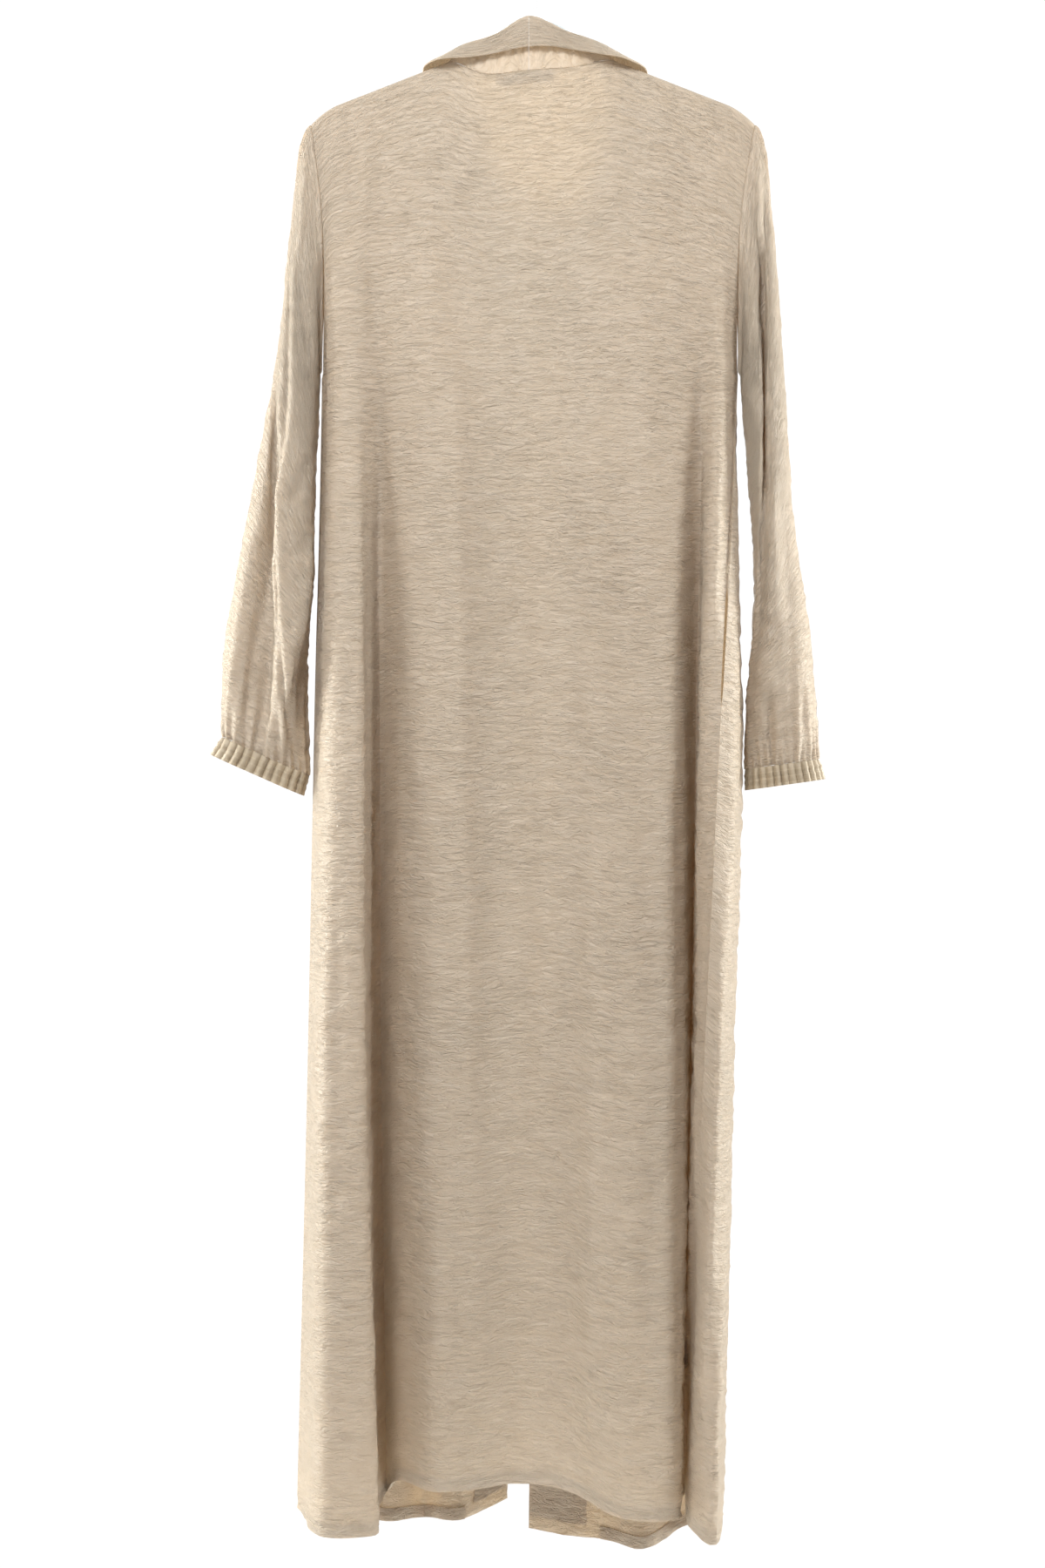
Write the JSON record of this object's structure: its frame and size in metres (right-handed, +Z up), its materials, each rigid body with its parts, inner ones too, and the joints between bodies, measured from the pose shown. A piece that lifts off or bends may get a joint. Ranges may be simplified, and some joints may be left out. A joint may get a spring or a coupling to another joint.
{
  "type": "abaya cloak on a hanger",
  "caption": "Full-length open-fronted abaya cloak with long gathered-cuff sleeves and a rolled collar, hanging on a plastic hanger with a wire hook.",
  "frame": {"origin": "under the crown of the hanger's hook, where a rail bears", "axes": "+Z up, the wearer's front faces -Y and the wearer's left is +X"},
  "size_m": [0.5866, 0.2064, 1.5683],
  "materials": {
    "satin_crepe": "crinkled satin",
    "label_tape": "woven",
    "hanger_plastic": "moulded, semi-gloss",
    "hook_wire": "bright drawn wire"
  },
  "bodies": {
    "root": {"back": "satin_crepe", "front_left": "satin_crepe", "front_right": "satin_crepe", "sleeve_left": "satin_crepe", "sleeve_right": "satin_crepe", "cuff_left": "satin_crepe", "cuff_right": "satin_crepe", "collar_left": "satin_crepe", "collar_right": "satin_crepe", "facing_left": "satin_crepe", "facing_right": "satin_crepe", "neck_label": "label_tape", "hanger": "hanger_plastic", "hanger_hook": "hook_wire"}
  },
  "joints": []
}
